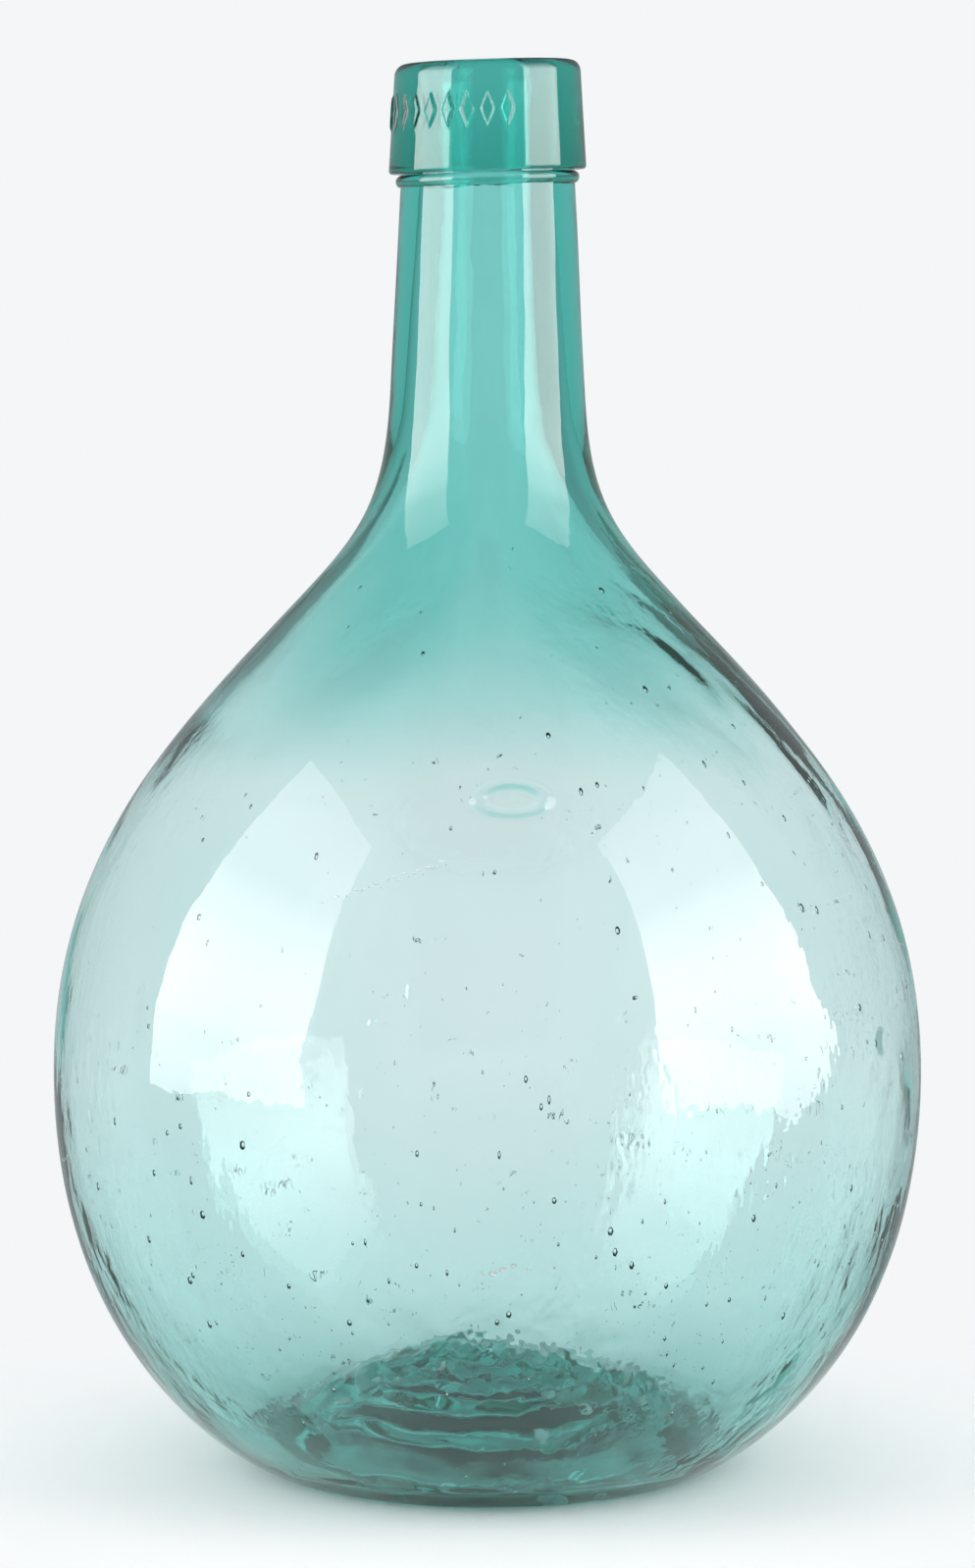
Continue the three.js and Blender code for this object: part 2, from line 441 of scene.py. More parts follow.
def outside_of_body(fineness):
    """The body's outside from the resting ring to the top of the neck, as bends."""
    belly = (BELLY_RADIUS, BELLY_HEIGHT)
    heel = (REST_RING_RADIUS, 0)
    straight = NECK_STRAIGHT_REACH
    bends = [
        (heel, OUT, HEEL_REACH, belly, UP, BELLY_UNDER_REACH),
        (belly, UP, BELLY_OVER_REACH, SHOULDER, SHOULDER_WAY, SHOULDER_LOWER_REACH),
        (SHOULDER, SHOULDER_WAY, SHOULDER_UPPER_REACH, NECK_BASE, NECK_WAY, NECK_REACH),
        (NECK_BASE, NECK_WAY, straight, NECK_TOP, NECK_WAY, straight),
    ]
    points = [(Vector(heel), Vector(OUT))]
    for stretch, rows in zip(bends, BODY_ROWS):
        points += bend(*stretch, round(fineness * rows))
    return points


def inside_of_body(fineness):
    """The same wall's inside with its direction, from the edge of the thick floor upwards."""
    return [
        (point + Vector((-way.y, way.x)) * wall_at(point.y), way)
        for point, way in outside_of_body(fineness)
        if point.y >= FLOOR_EDGE_HEIGHT
    ]


print("wall at the belly and in the neck, mm", [round(1000 * wall_at(z), 2) for z in (0.1, 0.27)])

# %% [markdown]
# ## Turning a section into a piece
# A section becomes a mesh of loose edges that also carries a few values at each point, such as how
# thick the wall is there and how strongly the glass ripples. A Geometry Nodes tree then lays a grid
# over it, one row for each point and one column for each step round the axis, and rolls the grid
# up. Merging closes the seam and the poles. Last, noise pushes the skin in and out along its
# normals, because no blown wall is true, and the end of the neck is leaned a little.

# %% The turning tree
def geometry_tree(name, inputs):
    """A node group that changes a geometry, with more inputs by name and kind. Also its inputs."""
    tree = bpy.data.node_groups.new(name, "GeometryNodeTree")
    for label, kind in {"Geometry": "Geometry", **inputs}.items():
        tree.interface.new_socket(name=label, in_out="INPUT", socket_type="NodeSocket" + kind)
    tree.interface.new_socket(name="Geometry", in_out="OUTPUT", socket_type="NodeSocketGeometry")
    return tree, add_node(tree, "NodeGroupInput").outputs


def change(tree, geometry, kind, inputs=None, **settings):
    """The geometry after one more node, which takes it at its first socket."""
    node = add_node(tree, "GeometryNode" + kind, {0: geometry, **(inputs or {})}, **settings)
    return node.outputs[0]


def named(tree, name):
    """The value of that name at each point of the geometry."""
    node = add_node(tree, "GeometryNodeInputNamedAttribute", {"Name": name}, data_type="FLOAT")
    return node.outputs["Attribute"]


RING_SPACING, RING_WANDER = 0.0095, 9.0  # of the tool rings in the push-up
LOZENGES = 30  # as if the band went all the way round
LOZENGE_HALF_WIDTH = 0.40  # share of its cell
LOZENGE_EDGE = (1.0, 0.6)  # from its outline to its top
BAND_START, BAND_END = math.radians(108), math.radians(288)  # from the right, round by the back
FURROW_SIZE = 0.010  # of the furrows on the right shoulder, across
FURROW_STRETCH = (0.3, 1, 0.3)  # they run along the wall
RIPPLE_STRETCH = (1, 1, 0.6)  # ripples are drawn out upwards
ROUGHEST, SMOOTHEST = 1.0, 0.5  # share of the ripple on the right and on the left
LEAN_SPAN = (0.270, NECK_TOP[1])  # heights between which the lean sets in
SHARP_EDGE = math.radians(38)
MERGE_DISTANCE = 1e-6

# Which part of the round a piece of unevenness takes up, by the cosine of the turn: 1 is the
# right, 0 the front and the back, and -1 the left.
LEFT_SPAN, RIGHT_SPAN = (-0.52, -0.98), (0.6, 0.9)
FLANK_SPANS = (0.05, 0.70), (0.98, 0.70)
FLANK_SIDES, FLANK_SHARES = (-0.3, 0.3), (1.0, 0.6)  # the left flank is fuller


def turning_tree():
    """Rolls a section round the axis, ripples it, and leans the end of the neck."""
    inputs = {
        "Columns": "Int",
        "Ripple Size": "Float",
        "Ripple Offset": "Float",
        "Lean": "Float",
        "Relief": "Float",
        "Glass": "Material",
    }
    tree, given = geometry_tree("turn_glass", inputs)

    count = add_node(tree, "GeometryNodeAttributeDomainSize", {"Geometry": given["Geometry"]})
    rows = count.outputs["Point Count"]
    grid_size = {"Vertices X": plus(tree, given["Columns"], 1), "Vertices Y": rows}
    grid = add_node(tree, "GeometryNodeMeshGrid", grid_size)
    index = add_node(tree, "GeometryNodeInputIndex").outputs[0]
    row = calculate(tree, "MODULO", index, rows)
    column = calculate(tree, "FLOOR", calculate(tree, "DIVIDE", index, rows))
    turn = times(tree, calculate(tree, "DIVIDE", column, given["Columns"]), math.tau)

    def at_row(value, data_type):
        inputs = {"Value": value, "Index": row}
        return change(tree, given["Geometry"], "SampleIndex", inputs, data_type=data_type)

    def from_section(name):
        return at_row(named(tree, name), "FLOAT")

    position = add_node(tree, "GeometryNodeInputPosition").outputs[0]
    section_place = {"Vector": at_row(position, "FLOAT_VECTOR"), "Angle": turn}
    rolled = add_node(tree, "ShaderNodeVectorRotate", section_place, rotation_type="Z_AXIS")
    # The gather was worked harder on one side, so the wall is rougher there.
    rightwards = calculate(tree, "COSINE", turn)
    swing = times(tree, rightwards, (ROUGHEST - SMOOTHEST) / 2)
    side = plus(tree, swing, (ROUGHEST + SMOOTHEST) / 2)
    # A band of plain raised lozenges, from the back round the left to the front.
    cell = calculate(tree, "FRACT", times(tree, turn, LOZENGES / math.tau))
    across = calculate(tree, "ABSOLUTE", calculate(tree, "SUBTRACT", cell, 0.5))
    upwards = calculate(tree, "ABSOLUTE", from_section("band"))
    reach = plus(tree, calculate(tree, "DIVIDE", across, LOZENGE_HALF_WIDTH), upwards)
    lozenge = ramp(tree, reach, LOZENGE_EDGE)
    after = calculate(tree, "GREATER_THAN", turn, BAND_START)
    before = calculate(tree, "LESS_THAN", turn, BAND_END)

    kept = {name: from_section(name) for name in ("inside", "rings")}
    kept["ripple"] = times(tree, from_section("ripple"), side)
    kept["fine"] = times(tree, from_section("fine"), side)
    kept["relief"] = times(tree, lozenge, after, before, given["Relief"])
    # On the left the inside comes nearer to the skin.
    on_left = ramp(tree, rightwards, LEFT_SPAN)
    missing = times(tree, from_section("thin"), on_left)
    # On the flanks, between the front and the sides, it stands further in.
    to_the_side = calculate(tree, "ABSOLUTE", rightwards)
    on_flank = times(tree, *[ramp(tree, to_the_side, span) for span in FLANK_SPANS])
    fuller = ramp(tree, rightwards, FLANK_SIDES, FLANK_SHARES, "LINEAR")
    extra = times(tree, from_section("full"), times(tree, on_flank, fuller))
    kept["gain"] = calculate(tree, "SUBTRACT", extra, missing)
    on_right = ramp(tree, rightwards, RIGHT_SPAN)
    kept["streaks"] = times(tree, from_section("streaks"), on_right)
    kept["wall"] = plus(tree, from_section("wall"), kept["gain"])
    skin = grid.outputs["Mesh"]
    for name, value in kept.items():
        inputs = {"Name": name, "Value": value}
        skin = change(tree, skin, "StoreNamedAttribute", inputs, data_type="FLOAT", domain="POINT")
    skin = change(tree, skin, "SetPosition", {"Position": rolled.outputs[0]})
    skin = change(tree, skin, "MergeByDistance", {"Distance": MERGE_DISTANCE})

    other_side = times(tree, named(tree, "inside"), 5.0)  # ripples of its own inside
    noise = add_node(
        tree,
        "ShaderNodeTexNoise",
        {
            "Vector": scaled(tree, position, RIPPLE_STRETCH),
            "W": plus(tree, given["Ripple Offset"], other_side),
            "Scale": calculate(tree, "DIVIDE", 1.0, given["Ripple Size"]),
            "Detail": 1.5,
        },
        noise_dimensions="4D",
    ).outputs[0]
    uneven = times(tree, calculate(tree, "SUBTRACT", noise, 0.5), named(tree, "ripple"))
    radius = length_of(tree, scaled(tree, position, (1, 1, 0)))
    wander = times(tree, noise, RING_WANDER)
    phase = plus(tree, times(tree, radius, math.tau / RING_SPACING), wander)
    rings = times(tree, calculate(tree, "SINE", phase), named(tree, "rings"))
    along_the_wall = scaled(tree, position, FURROW_STRETCH)
    furrow_size = {"Vector": along_the_wall, "Scale": 1 / FURROW_SIZE, "Detail": 1.0}
    furrows = add_node(tree, "ShaderNodeTexNoise", furrow_size).outputs[0]
    furrow = times(tree, calculate(tree, "SUBTRACT", furrows, 0.5), named(tree, "streaks"))
    inwards = times(tree, plus(tree, named(tree, "gain"), furrow), named(tree, "inside"))
    swell = plus(tree, uneven, rings, named(tree, "relief"), inwards)
    push = scaled(tree, add_node(tree, "GeometryNodeInputNormal").outputs[0], swell)
    skin = change(tree, skin, "SetPosition", {"Offset": push})
    axes = axes_of(tree, position)
    rise = times(tree, axes["X"], given["Lean"], ramp(tree, axes["Z"], LEAN_SPAN))
    raised = add_node(tree, "ShaderNodeCombineXYZ", {2: rise}).outputs[0]
    skin = change(tree, skin, "SetPosition", {"Offset": raised})

    skin = change(tree, skin, "SetShadeSmooth")
    edge_angle = add_node(tree, "GeometryNodeInputMeshEdgeAngle").outputs["Unsigned Angle"]
    sharp = calculate(tree, "GREATER_THAN", edge_angle, SHARP_EDGE)
    creases = {"Selection": sharp, "Shade Smooth": False}
    skin = change(tree, skin, "SetShadeSmooth", creases, domain="EDGE")
    skin = change(tree, skin, "RealizeInstances")
    skin = change(tree, skin, "SetMaterial", {"Material": given["Glass"]})
    add_node(tree, "NodeGroupOutput", {"Geometry": skin})
    return tree


turn_glass = turning_tree()
print("tree", turn_glass.name, "with", len(turn_glass.nodes), "nodes")

# %% Sections to meshes
SECTION_VALUES = {  # the usual value at a point
    "wall": 0.004,  # thickness of the glass
    "ripple": 0.0001,  # depth of the ripples
    "fine": 0.00003,  # depth of the orange-peel skin
    "inside": 0,  # 1 on the inside of the wall
    "rings": 0,  # depth of the tool rings
    "band": 2,  # from -1 to 1 up the band of lozenges
    "thin": 0,  # how much of the wall is missing on the left
    "full": 0,  # how much thicker it is on the flanks
    "streaks": 0,  # depth of the furrows on the right
}


def section_mesh(name, points):
    """A mesh of loose edges from (radius, height, values) points."""
    mesh = bpy.data.meshes.new(name)
    corners = [(radius, 0, height) for radius, height, _ in points]
    mesh.from_pydata(corners, [(i, i + 1) for i in range(len(points) - 1)], [])
    for attribute, usual in SECTION_VALUES.items():
        layer = mesh.attributes.new(attribute, "FLOAT", "POINT")
        amounts = [float(values.get(attribute, usual)) for *_, values in points]
        layer.data.foreach_set("value", amounts)
    return mesh


def use_tree(piece, tree, values):
    """Adds the tree to the piece as a modifier, with its inputs set by their identifiers."""
    modifier = piece.modifiers.new(tree.name, "NODES")
    modifier.node_group = tree
    for item in tree.interface.items_tree:
        if item.item_type == "SOCKET" and item.in_out == "INPUT" and item.name in values:
            modifier[item.identifier] = values[item.name]
    return modifier


def settle(piece):
    """Keeps what the piece's modifiers make as a plain mesh, and removes the modifiers."""
    graph = bpy.context.evaluated_depsgraph_get()
    mesh = bpy.data.meshes.new_from_object(piece.evaluated_get(graph))
    piece.modifiers.clear()
    piece.data = mesh
    return mesh


def signed_litres(mesh):
    """Volume of a mesh, negative if its faces point inwards, and how many open edges it has."""
    shape = bmesh.new()
    shape.from_mesh(mesh)
    litres = shape.calc_volume(signed=True) * 1000
    open_edges = sum(1 for edge in shape.edges if not edge.is_manifold)
    shape.free()
    return round(litres, 4), open_edges


print("ready to turn")

# %% [markdown]
# ## Glass
# The colour of bottle glass lies in its depth: a thin wall is nearly clear, and a thick neck or
# an edge seen along the wall is deep blue-green. Painting the surface would miss that. So the
# skin is clear and the inside absorbs light, red most and green least, for each metre of glass
# that a ray crosses. The ring and the collar are of a deeper glass. Fine noise in the bump stands
# for the orange-peel skin.

# %% Glass material
ABSORBED_PER_METRE = (73.5, 19.9, 23.4)  # red, green, blue
INDEX_OF_REFRACTION = 1.52
PEEL_SCALE, PEEL_STRETCH = 90.0, (1, 1, 0.5)  # of the orange-peel skin
PATCH_SCALE, PATCH_SPAN, PATCH_DEPTHS = 24.0, (0.38, 0.66), (0.15, 1.4)  # where it is deeper
HAZE_SCALE, HAZE_SPAN, HAZIEST = 35.0, (0.45, 0.75), 0.05  # smears that dull the skin
COLLAR_DEEPNESS = 5.0


def blown_glass(name, deepness):
    """Clear skin over absorbing glass, so many times deeper than the bulb's."""
    material = bpy.data.materials.new(name)
    tree = empty_tree(material)
    place = add_node(tree, "ShaderNodeTexCoord").outputs["Object"]

    def noise(vector, scale, detail):
        inputs = {"Vector": vector, "Scale": scale, "Detail": detail}
        return add_node(tree, "ShaderNodeTexNoise", inputs).outputs[0]

    peel = noise(scaled(tree, place, PEEL_STRETCH), PEEL_SCALE, 3.0)
    patches = ramp(tree, noise(place, PATCH_SCALE, 1.0), PATCH_SPAN, PATCH_DEPTHS, "LINEAR")
    depth_of_peel = add_node(tree, "ShaderNodeAttribute", attribute_name="fine").outputs["Fac"]
    height = times(tree, peel, times(tree, depth_of_peel, patches))
    bump = add_node(tree, "ShaderNodeBump", {"Height": height, "Strength": 1.0, "Distance": 1.0})
    haze = ramp(tree, noise(place, HAZE_SCALE, 3.0), HAZE_SPAN, (0.0, HAZIEST), "LINEAR")
    skin = add_node(
        tree,
        "ShaderNodeBsdfPrincipled",
        {
            "Base Color": (1, 1, 1, 1),
            "Roughness": haze,
            "IOR": INDEX_OF_REFRACTION,
            "Transmission Weight": 1.0,
            "Normal": bump.outputs[0],
        },
    )
    most = max(ABSORBED_PER_METRE)
    clear = [1 - amount / most for amount in ABSORBED_PER_METRE]
    tint = {"Color": (*clear, 1), "Density": most * deepness}
    depth = add_node(tree, "ShaderNodeVolumeAbsorption", tint)
    both = {"Surface": skin.outputs[0], "Volume": depth.outputs[0]}
    add_node(tree, "ShaderNodeOutputMaterial", both)
    return material


glass = blown_glass("blue_green_glass", 1.0)
collar_glass = blown_glass("deep_blue_green_glass", COLLAR_DEEPNESS)
print("glass absorbs", ABSORBED_PER_METRE, "per metre")

# %% [markdown]
# ## The blown body
# The bulb, the shoulder and the neck are one gather, blown and then pushed up at the base. The
# section runs from the crown of the push-up, over the resting ring, up the outside to the end of
# the neck, and back down the inside to the floor of the bulb. A solid bottle with a clear material
# would look like a lens, so the hollow is modelled as the real one is.

# %% Body piece
RIPPLE_SIZE = 0.028
LEAN = 0.031  # the collar was laid on a little crooked: rise for each metre to the right
BODY_COLUMNS = 224
INSIDE_FINENESS = 0.8  # rows on the inside for each row on the outside
PUSH_UP_CROWN_REACH, PUSH_UP_SIDE_REACH = 0.026, 0.006
FLOOR_EDGE_REACH, FLOOR_CROWN_REACH = 0.012, 0.044

# Finishes, as depths of ripple, of orange peel and of tool rings.
BASE_FINISH = {"wall": BASE_WALL, "ripple": 0.0030, "fine": 0.00016, "rings": 0.0006}
LIP_FINISH = {"wall": NECK_WALL, "ripple": 0.0002}
BORE_FINISH = {"wall": NECK_WALL, "ripple": 0.0020, "fine": 0.0010, "inside": 1}
PEEL_BAND = (0.03, 0.07), (0.105, 0.135)  # heights where the outside is rougher
LOW_INSIDE, HIGH_INSIDE = (0.05, 0.13), (0.23, 0.27)  # where the inside changes its finish

collar_low, collar_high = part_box("applied_collar")
ring_low, ring_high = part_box("laid_on_ring")
RIM_HEIGHT = cad_high[2]
COLLAR_DRAFT = 0.0014
LIP_ROUNDING, MOUTH_ROUNDING = 0.003, 0.002
lip_centre = (collar_high[0] - COLLAR_DRAFT - LIP_ROUNDING, RIM_HEIGHT - LIP_ROUNDING)


def arc(centre, radius, start, end, steps):
    """Points of an arc of the section, with its angles in degrees from straight out."""
    angles = [math.radians(start + (end - start) * i / steps) for i in range(steps + 1)]
    return [(centre[0] + radius * math.cos(a), centre[1] + radius * math.sin(a)) for a in angles]


def lip_angle(radius):
    """Where on the rounding of the lip a radius falls, in degrees from straight out."""
    return math.degrees(math.acos((radius - lip_centre[0]) / LIP_ROUNDING))


def along(start, end, steps):
    """Points between two corners of the section, without the first."""
    return [tuple(Vector(start).lerp(Vector(end), i / steps)) for i in range(1, steps + 1)]


def inner_floor(steps):
    """The thick floor's upper side, from the edge of the wall in to the crown."""
    edge, way = inside_of_body(INSIDE_FINENESS)[0]
    crown = (0, PUSH_UP_HEIGHT + BASE_WALL)
    return bend(edge, -way, FLOOR_EDGE_REACH, crown, IN, FLOOR_CROWN_REACH, steps)


def wall_values(height):
    """The values that say how thick the wall is at a height."""
    return {
        "wall": wall_at(height),
        "thin": thinning_at(height),
        "full": fullness_at(height),
        "streaks": streaks_at(height),
    }


def body_section():
    """(radius, height, values) round the section of the blown wall."""
    ring_edge = (REST_RING_RADIUS - REST_RING_WIDTH, 0)
    crown = (0, PUSH_UP_HEIGHT)
    push_up = [(Vector(crown), None)]
    push_up += bend(crown, OUT, PUSH_UP_CROWN_REACH, ring_edge, DOWN, PUSH_UP_SIDE_REACH, 16)
    points = [(p.x, p.y, BASE_FINISH) for p, _ in push_up]
    for p, _ in outside_of_body(1.0):
        fine = 0.00016 + 0.0006 * rise_and_fall(p.y, *PEEL_BAND)
        points.append((p.x, p.y, {**wall_values(p.y), "ripple": 0.0009, "fine": fine}))

    lip_start = lip_angle(NECK_TOP[0])
    lip = arc(lip_centre, LIP_ROUNDING, lip_start, 90, 4)
    mouth_centre = (bore_radius + MOUTH_ROUNDING, RIM_HEIGHT - MOUTH_ROUNDING)
    mouth = arc(mouth_centre, MOUTH_ROUNDING, 90, 180, 6)
    inside = list(reversed(inside_of_body(INSIDE_FINENESS)))
    neck_end = along(NECK_TOP, lip[0], 10) + lip[1:] + along(lip[-1], mouth[0], 4) + mouth[1:]
    points += [(r, z, LIP_FINISH) for r, z in neck_end]
    bore = along(mouth[-1], inside[0][0], 8)[:-1]
    points += [(r, z, BORE_FINISH) for r, z in bore]

    for p, _ in inside:
        low, high = 1 - smooth_share(p.y, *LOW_INSIDE), smooth_share(p.y, *HIGH_INSIDE)
        ripple = 0.0012 - 0.0003 * low + 0.0008 * high
        fine = 0.0003 + 0.0001 * low + 0.0007 * high
        values = {**wall_values(p.y), "ripple": ripple, "fine": fine, "inside": 1}
        points.append((p.x, p.y, values))
    points += [(p.x, p.y, {**BASE_FINISH, "inside": 1}) for p, _ in inner_floor(30)]
    return points


def turned_piece(name, points, columns, ripple_offset, material, relief=0.0):
    """A piece of glass turned from its section."""
    piece = bpy.data.objects.new(name, section_mesh(name, points))
    scene.collection.objects.link(piece)
    values = {
        "Columns": columns,
        "Ripple Size": RIPPLE_SIZE,
        "Ripple Offset": ripple_offset,
        "Lean": LEAN,
        "Relief": relief,
        "Glass": material,
    }
    use_tree(piece, turn_glass, values)
    mesh = settle(piece)
    print(name, len(mesh.polygons), "faces, litres of glass and open edges", signed_litres(mesh))
    return piece


body = turned_piece("glass_body", body_section(), BODY_COLUMNS, 0.0, glass)

# %% [markdown]
# ## Marks on the skin
# Some marks are large enough to know one by one: a flat oval welt high on the front, a round
# dimple near the right edge, and a few drops and scars. A grid fine enough for them all over would
# be wasteful. So the skin is divided more finely just there, and then raised or sunk.

# %% Marks
MARKS = [  # turn from the front, height, width, length along the wall, relief, highest, flat
    (3.9, 0.1742, 0.0216, 0.0112, 0.00080, 0.72),
    (62.5, 0.1130, 0.0105, 0.0095, 0.00054, 0.0, 0.30),
    (-9.9, 0.1320, 0.0026, 0.0095, 0.00035, 0.0),
    (-14.5, 0.1240, 0.0040, 0.0034, 0.00035, 0.0),
    (6.6, 0.1012, 0.0090, 0.0016, 0.00014, 0.0),
    (-6.4, 0.1441, 0.0036, 0.0036, 0.00012, 0.7),
]
MARK_CUTS = 5  # new points along each edge of the skin
MARK_MARGIN = 0.0025  # how far round a mark the skin is divided
MARK_DEPTH = 0.004  # how far off the mark's plane the skin can lie


def on_outside(height):
    """The point of the body's outside at a height, and the way the wall runs there."""
    return min(outside_of_body(4.0), key=lambda spot: abs(spot[0].y - height))


def wall_axes(turn, height):
    """A place on the outside, with the directions across the wall, up the wall and out of it."""
    point, way = on_outside(height)
    angle = math.radians(turn)
    outwards = Vector((math.sin(angle), -math.cos(angle), 0))
    across = Vector((math.cos(angle), math.sin(angle), 0))
    up = Vector((0, 0, 1))
    centre = outwards * point.x + up * point.y
    return centre, across, outwards * way.x + up * way.y, outwards * way.y - up * way.x


def add_mark(shape, turn, height, width, length, relief, highest, flat=0.0):
    """Raises an oval. highest is 0 for a drop, or where on the way out to its edge a welt stands,
    and flat is how far the top runs level."""
    centre, across, along_wall, out = wall_axes(turn, height)

    def reach(place):
        away = place - centre
        if abs(away.dot(out)) > MARK_DEPTH:
            return math.inf
        return math.hypot(away.dot(across) / (width / 2), away.dot(along_wall) / (length / 2))

    def is_near(face):
        away = face.calc_center_median() - centre
        return (
            abs(away.dot(out)) < MARK_DEPTH
            and abs(away.dot(across)) < width / 2 + MARK_MARGIN
            and abs(away.dot(along_wall)) < length / 2 + MARK_MARGIN
        )

    inside = shape.verts.layers.float["inside"]
    near = [face for face in shape.faces if face.verts[0][inside] < 0.5 and is_near(face)]
    edges = list({edge for face in near for edge in face.edges})
    bmesh.ops.subdivide_edges(
        shape, edges=edges, cuts=MARK_CUTS, use_grid_fill=True, smooth=1.0, smooth_falloff="LINEAR"
    )
    bmesh.ops.triangulate(shape, faces=[face for face in shape.faces if len(face.verts) > 4])
    shape.normal_update()
    moves = []
    for corner in shape.verts:
        if corner[inside] < 0.5 and (corner.co - centre).length < width + length:
            share = 1 - smooth_share(abs(reach(corner.co) - highest), flat, 1 - highest)
            moves.append((corner, corner.normal * relief * share))
    for corner, move in moves:
        corner.co += move


shape = bmesh.new()
shape.from_mesh(body.data)
for mark in MARKS:
    add_mark(shape, *mark)
shape.to_mesh(body.data)
shape.free()
print("marks", len(MARKS), "faces now", len(body.data.polygons), signed_litres(body.data))

# %% [markdown]
# ## Seeds
# Air caught in the melt stays in the wall as tiny flat bubbles, which glassmakers call seeds.
# They could be drawn as dark specks, but a real bubble bends light on its own. So small round
# shells are scattered through the wall with their faces turned inwards: they are hollows in the
# same mesh. They lie thickest low on the body, and more on one side than on the other.

# %% The seed tree
SEEDS_PER_SQUARE_METRE = 17000.0
LONGEST_SEED = 0.0022
SHORTEST_SHARE, RARITY = 0.2, 6.0  # of the longest, and how rare long seeds are
SEED_WIDTHS = (0.3, 0.7)  # share of its length
SEED_DEPTHS = (-0.6, -0.4)  # share of the wall, from the outside inwards
FLATTEST = 0.42  # share of the wall that a seed may fill
LOW_SPAN, LOW_EXTRA = (0.12, 0.03), 1.3  # more seeds low on the body
RIGHT_PART, RIGHT_EXTRA = (0.02, 0.10), 0.7  # and on the right
EVERYWHERE = 0.3
THICKEST_SEEDED, LOWEST_SEEDED = 0.0098, 0.004  # none in the neck, or under the resting ring
FACES_PER_SEED = 20


def seed_tree():
    """Scatters flat bubbles through the wall and adds them to the piece as hollows."""
    inputs = {
        "Seeds per Square Metre": "Float",
        "Longest Seed": "Float",
        "Scatter": "Int",
        "Glass": "Material",
    }
    tree, given = geometry_tree("seed_glass", inputs)

    def random_between(limits, number):
        draw = {2: limits[0], 3: limits[1], "Seed": plus(tree, given["Scatter"], number)}
        return add_node(tree, "FunctionNodeRandomValue", draw, data_type="FLOAT").outputs[1]

    axes = axes_of(tree, add_node(tree, "GeometryNodeInputPosition").outputs[0])
    lower = ramp(tree, axes["Z"], LOW_SPAN, (0.0, LOW_EXTRA), "LINEAR")
    right = ramp(tree, axes["X"], RIGHT_PART, (0.0, RIGHT_EXTRA), "LINEAR")
    share = plus(tree, lower, right, EVERYWHERE)
    outside = calculate(tree, "LESS_THAN", named(tree, "inside"), 0.5)
    thin = calculate(tree, "LESS_THAN", named(tree, "wall"), THICKEST_SEEDED)
    above_rest = calculate(tree, "GREATER_THAN", axes["Z"], LOWEST_SEEDED)
    density = times(tree, share, outside, thin, above_rest, given["Seeds per Square Metre"])
    spots = add_node(
        tree,
        "GeometryNodeDistributePointsOnFaces",
        {"Mesh": given["Geometry"], "Density": density, "Seed": given["Scatter"]},
        distribute_method="RANDOM",
    )
    depth = times(tree, named(tree, "wall"), random_between(SEED_DEPTHS, 1))
    sink = scaled(tree, spots.outputs["Normal"], depth)
    sunk = change(tree, spots.outputs["Points"], "SetPosition", {"Offset": sink})
    chance = calculate(tree, "POWER", random_between((0.0, 1.0), 2), RARITY)
    length = times(tree, given["Longest Seed"], plus(tree, SHORTEST_SHARE, chance))
    width = times(tree, length, random_between(SEED_WIDTHS, 3))
    flat = calculate(tree, "MINIMUM", width, times(tree, named(tree, "wall"), FLATTEST))
    size = add_node(tree, "ShaderNodeCombineXYZ", {0: width, 1: length, 2: flat}).outputs[0]
    ball = add_node(tree, "GeometryNodeMeshIcoSphere", {"Radius": 0.5, "Subdivisions": 1}).outputs[0]
    seed = {"Instance": ball, "Rotation": spots.outputs["Rotation"], "Scale": size}
    bubbles = change(tree, sunk, "InstanceOnPoints", seed)
    bubbles = change(tree, bubbles, "RealizeInstances")
    bubbles = change(tree, bubbles, "FlipFaces")
    bubbles = change(tree, bubbles, "SetShadeSmooth")
    bubbles = change(tree, bubbles, "SetMaterial", {"Material": given["Glass"]})
    joined = add_node(tree, "GeometryNodeJoinGeometry")
    tree.links.new(bubbles, joined.inputs[0])
    tree.links.new(given["Geometry"], joined.inputs[0])
    add_node(tree, "NodeGroupOutput", {"Geometry": joined.outputs[0]})
    return tree


seed_glass = seed_tree()
skin_faces = len(body.data.polygons)
seed_values = {
    "Seeds per Square Metre": SEEDS_PER_SQUARE_METRE,
    "Longest Seed": LONGEST_SEED,
    "Scatter": 7,
    "Glass": glass,
}
use_tree(body, seed_glass, seed_values)
settle(body)
print("seeds", (len(body.data.polygons) - skin_faces) // FACES_PER_SEED)

# %% [markdown]
# ## Blisters
# A few bubbles are large enough to know one by one: a short row low on the front, a chain of small
# ones that the blowing drew out in a line, and some round ones in the thick floor. They could be
# scattered with the seeds, but then they wouldn't lie where they do. So each is placed by itself,
# as a hollow like the seeds. Unlike those, their faces stay in the mesh's empty first material
# slot, so they show as pale matt specks and not as clear bubbles.

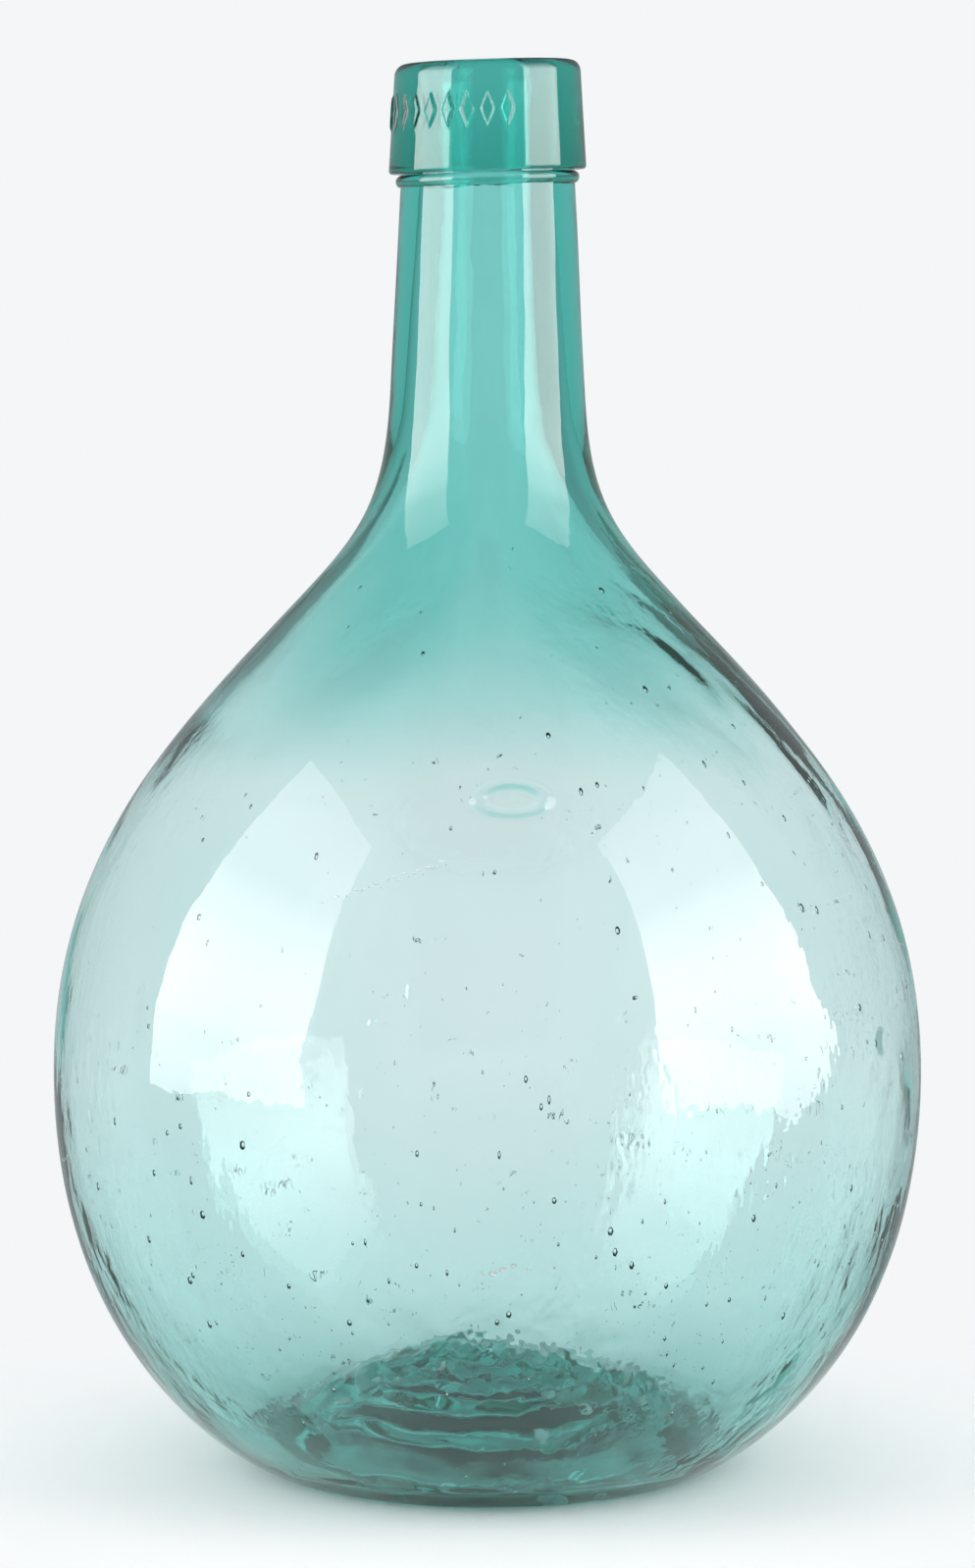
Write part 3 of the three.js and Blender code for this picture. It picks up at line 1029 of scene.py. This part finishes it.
# %% Blisters in the wall
BLISTERS = [  # turn from the front, height, length across, height along the wall, thickness
    (-0.6, 0.0660, 0.0011, 0.0009, 0.0009),
    (0.7, 0.0664, 0.0019, 0.0013, 0.0012),
    (2.0, 0.0672, 0.0022, 0.0012, 0.0011),
    (3.3, 0.0678, 0.0019, 0.0010, 0.0010),
    (5.2, 0.0668, 0.0010, 0.0008, 0.0008),
]
CHAIN_START, CHAIN_END, CHAIN_SEEDS = (-23.5, 0.1515), (-6.0, 0.1608), 21
BASE_BUBBLES = [  # turn from the front, distance from the axis, size
    (-43, 0.0161, 0.0022),
    (32, 0.0263, 0.0034),
    (19, 0.0391, 0.0028),
    (-67, 0.0295, 0.0022),
    (-57, 0.0251, 0.0018),
    (-66, 0.0387, 0.0024),
    (41, 0.0356, 0.0020),
    (72, 0.0400, 0.0030),
    (112, 0.0330, 0.0024),
    (150, 0.0400, 0.0030),
    (-118, 0.0360, 0.0026),
    (-160, 0.0280, 0.0020),
]
BASE_BUBBLE_COVER = 0.0014  # glass over it


def chain_of_seeds():
    """Small bubbles drawn out in a line, closer at its upper end."""
    seeds = []
    for i in range(CHAIN_SEEDS):
        share = (i / (CHAIN_SEEDS - 1)) ** 0.7
        turn = CHAIN_START[0] + (CHAIN_END[0] - CHAIN_START[0]) * share
        height = CHAIN_START[1] + (CHAIN_END[1] - CHAIN_START[1]) * share
        wander = math.sin(i * 2.4)
        length = 0.0010 + 0.0005 * wander
        seeds.append((turn, height + 0.0006 * wander, length, 0.0006, 0.0005))
    return seeds


def add_hollow(shape, centre, axes):
    """Adds a ball with its faces turned inwards. axes are its half-lengths along three directions."""
    ball = bmesh.ops.create_icosphere(shape, subdivisions=2, radius=1)
    for corner in ball["verts"]:
        x, y, z = corner.co
        corner.co = centre + axes[0] * x + axes[1] * y + axes[2] * z
    faces = list({face for corner in ball["verts"] for face in corner.link_faces})
    bmesh.ops.reverse_faces(shape, faces=faces)
    for face in faces:
        face.smooth = True


def add_base_bubble(shape, turn, radius, size):
    """Adds a bubble just under the floor of the bulb."""
    floor_point = min(inner_floor(60), key=lambda spot: abs(spot[0].x - radius))[0]
    angle = math.radians(turn)
    height = floor_point.y - size - BASE_BUBBLE_COVER
    centre = Vector((math.sin(angle) * radius, -math.cos(angle) * radius, height))
    half, half_height = size * 0.75, size * 0.5
    axes = (Vector((half, 0, 0)), Vector((0, half, 0)), Vector((0, 0, half_height)))
    add_hollow(shape, centre, axes)


def add_blister(shape, turn, height, length, tall, thick):
    """Adds a flattened bubble to the middle of the wall."""
    skin, across, along_wall, out = wall_axes(turn, height)
    centre = skin - out * wall_at(height) / 2
    axes = (across * length / 2, along_wall * tall / 2, out * thick / 2)
    add_hollow(shape, centre, axes)


shape = bmesh.new()
shape.from_mesh(body.data)
blisters = BLISTERS + chain_of_seeds()
for blister in blisters:
    add_blister(shape, *blister)
for bubble in BASE_BUBBLES:
    add_base_bubble(shape, *bubble)
shape.to_mesh(body.data)
shape.free()
print("blisters", len(blisters), "faces now", len(body.data.polygons))

# %% [markdown]
# ## Ring and collar
# When the bottle is cracked off the blowpipe its neck ends raw. The maker trails a thread of hot
# glass round it, lays a wider band above, and tools that band to a lip. Both melt into the neck. So
# their sections start a hair inside it, and no air gap shows at the joint. The band has a row of
# plain raised lozenges on part of its round. They are shaped in the mesh, fine enough to hold them.

# %% Ring and collar pieces
OVERLAP = 0.00015  # fused joints: the later gathers of glass start just inside the neck
SLEEVE = NECK_TOP[0] - OVERLAP
BAND_MIDDLE, BAND_HEIGHT, BAND_RELIEF = 0.3365, 0.0100, 0.0005
FOOT_BEVEL = 0.0009
COLLAR_RIPPLE = 0.0003
COLLAR_ROWS = 60  # up its side
RING_COLUMNS, COLLAR_COLUMNS = 160, 540


def ring_section():
    """The laid-on thread: a half-round bead on the neck."""
    low, high, bulge = ring_low[2], ring_high[2], ring_high[0]
    half = (high - low) / 2
    bead = [
        (SLEEVE + (bulge - SLEEVE) * math.cos(a), low + half + half * math.sin(a))
        for a in (math.pi * (i / 12 - 0.5) for i in range(13))
    ]
    return [(r, z, {}) for r, z in bead + bead[:1]]


def collar_section():
    """The collar: a band with a small bevel at its foot, a little narrower at its top."""
    foot, low = collar_high[0], collar_low[2]
    top = foot - COLLAR_DRAFT
    side_low, side_high = low + FOOT_BEVEL, lip_centre[1]
    points = [(SLEEVE, low)] + arc((foot - FOOT_BEVEL, side_low), FOOT_BEVEL, -90, 0, 4)
    for i in range(1, COLLAR_ROWS):
        t = i / COLLAR_ROWS
        points.append((foot + (top - foot) * t, side_low + (side_high - side_low) * t))
    points += arc(lip_centre, LIP_ROUNDING, 0, lip_angle(SLEEVE), 6)
    points += along(points[-1], points[0], 10)
    section = []
    for r, z in points:
        values = {"ripple": COLLAR_RIPPLE}
        if r > SLEEVE + 0.001:  # its outer side
            values["band"] = (z - BAND_MIDDLE) / (BAND_HEIGHT / 2)
        section.append((r, z, values))
    return section


ring = turned_piece("glass_ring", ring_section(), RING_COLUMNS, 9.0, collar_glass)
collar = turned_piece(
    "glass_collar", collar_section(), COLLAR_COLUMNS, 17.0, collar_glass, BAND_RELIEF
)

# %% [markdown]
# ## Handing over
# Nothing on a bottle moves, so all three pieces ride on the one body. Each stands for its packed
# solid, which is hidden. Light crosses a skin of glass many times before it leaves a hollow
# bottle, so the limits on its path are raised.

# %% Finish
LONGEST_PATH = 64

for piece, node, slot in (
    (body, "blown_body", "body_glass"),
    (ring, "laid_on_ring", "ring_glass"),
    (collar, "applied_collar", "collar_glass"),
):
    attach(piece, "root")
    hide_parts(node)

scene.cycles.max_bounces = LONGEST_PATH
scene.cycles.transmission_bounces = LONGEST_PATH
scene.cycles.glossy_bounces = LONGEST_PATH
